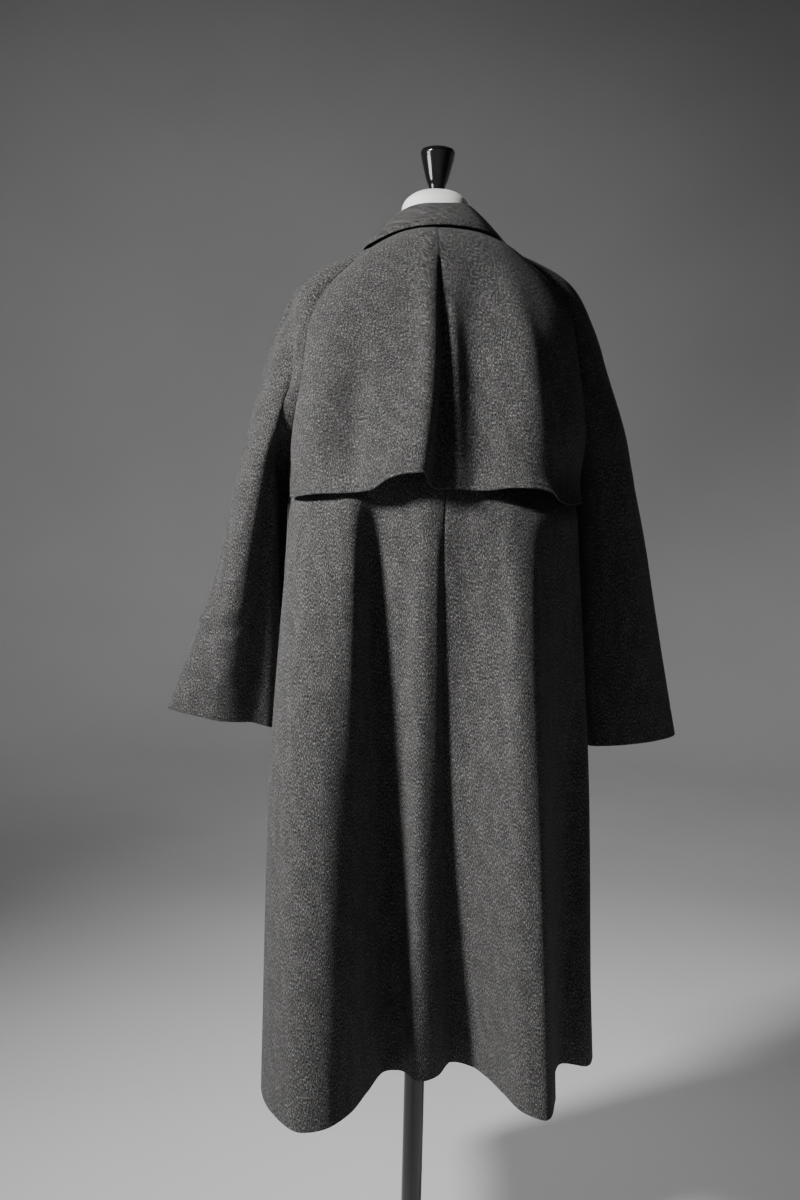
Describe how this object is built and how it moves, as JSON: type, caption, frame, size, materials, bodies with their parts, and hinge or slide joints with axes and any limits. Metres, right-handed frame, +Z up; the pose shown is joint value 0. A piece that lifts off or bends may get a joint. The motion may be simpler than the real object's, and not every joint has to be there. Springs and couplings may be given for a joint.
{
  "type": "wool coat on a limbless dress form",
  "caption": "Long flared wool coat with raglan sleeves, a pleated storm flap and a turn-down collar, worn on a limbless dress form with pole and base.",
  "frame": {"origin": "centre of the base plate's underside", "axes": "+Z up, +Y towards the back of the coat, +X towards the wearer's left"},
  "size_m": [0.7498, 0.4297, 1.6195],
  "materials": {
    "wool": "brushed wool with a short nap",
    "button": "satin black",
    "form_cover": "white cotton",
    "finial": "black lacquer",
    "pole": "gloss black",
    "base": "satin black"
  },
  "bodies": {
    "root": {"back_left": "wool", "back_right": "wool", "front_left": "wool", "front_right": "wool", "sleeve_left_back": "wool", "sleeve_left_front": "wool", "sleeve_right_back": "wool", "sleeve_right_front": "wool", "storm_flap": "wool", "collar": "wool", "button_1": "button", "button_2": "button", "button_3": "button", "button_4": "button", "form_torso": "form_cover", "finial": "finial", "pole": "pole", "base": "base"}
  },
  "joints": []
}
